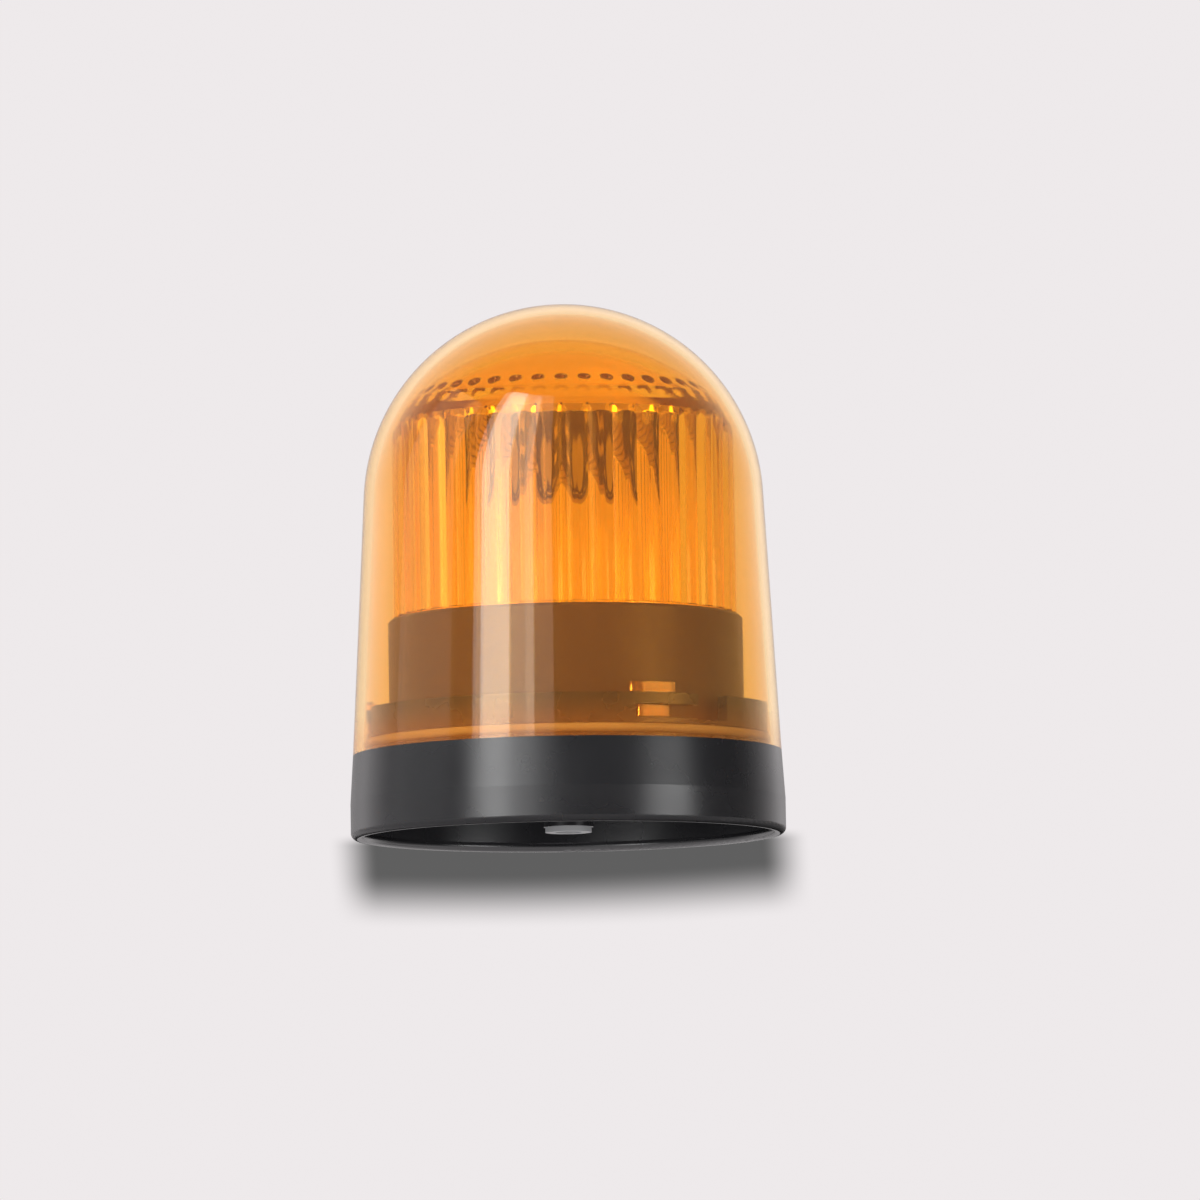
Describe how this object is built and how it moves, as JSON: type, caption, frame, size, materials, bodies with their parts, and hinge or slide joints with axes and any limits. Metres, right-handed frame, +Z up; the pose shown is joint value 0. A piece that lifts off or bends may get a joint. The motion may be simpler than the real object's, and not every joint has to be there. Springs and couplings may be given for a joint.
{
  "type": "signal beacon",
  "caption": "Amber dome signal beacon on a round black base, with a fluted inner lens, a cone reflector and an LED lamp unit inside.",
  "frame": {"origin": "centre of the base's rim, on the surface that the beacon stands on", "axes": "+Z up along the beacon's axis"},
  "size_m": [0.098, 0.098, 0.1206],
  "materials": {
    "base_plastic": "fine satin moulded black",
    "drum_plastic": "satin moulded dark grey",
    "amber_dome": "clear amber, polished",
    "amber_lens": "clear amber, fluted",
    "reflector_plating": "plated plastic",
    "grommet_rubber": "matt grey",
    "seal_rubber": "matt grey",
    "insert_brass": "turned",
    "screw_steel": "zinc plated",
    "board_green": "solder mask",
    "board_black": "black solder mask on metal",
    "terminal_green": "moulded green",
    "capacitor_sleeve": "shrink sleeve with a bare top",
    "ferrite": "ground ferrite",
    "copper_wire": "enamelled copper",
    "chip_plastic": "moulded black",
    "disc_blue": "dipped blue",
    "fuse_cream": "moulded cream",
    "header_white": "moulded white",
    "lead_red": "insulated wire",
    "led_resin": "white body with a clear yellow lens"
  },
  "bodies": {
    "root": {"base_housing": "base_plastic", "fixing_inserts": "insert_brass", "cable_grommet": "grommet_rubber", "drum_housing": "drum_plastic", "drum_screws": "screw_steel", "driver_board": "board_green", "board_screws": "screw_steel", "terminal_block": "terminal_green", "terminal_screws": "screw_steel", "filter_capacitors": "capacitor_sleeve", "choke_core": "ferrite", "choke_winding": "copper_wire", "rectifier": "chip_plastic", "driver_chips": "chip_plastic", "surge_disc": "disc_blue", "fuse_link": "fuse_cream", "lead_header": "header_white", "led_leads": "lead_red", "led_board": "board_black", "led_bodies": "led_resin", "led_board_screws": "screw_steel", "inner_lens": "amber_lens", "reflector": "reflector_plating", "lens_seal": "seal_rubber", "outer_dome": "amber_dome"}
  },
  "joints": []
}
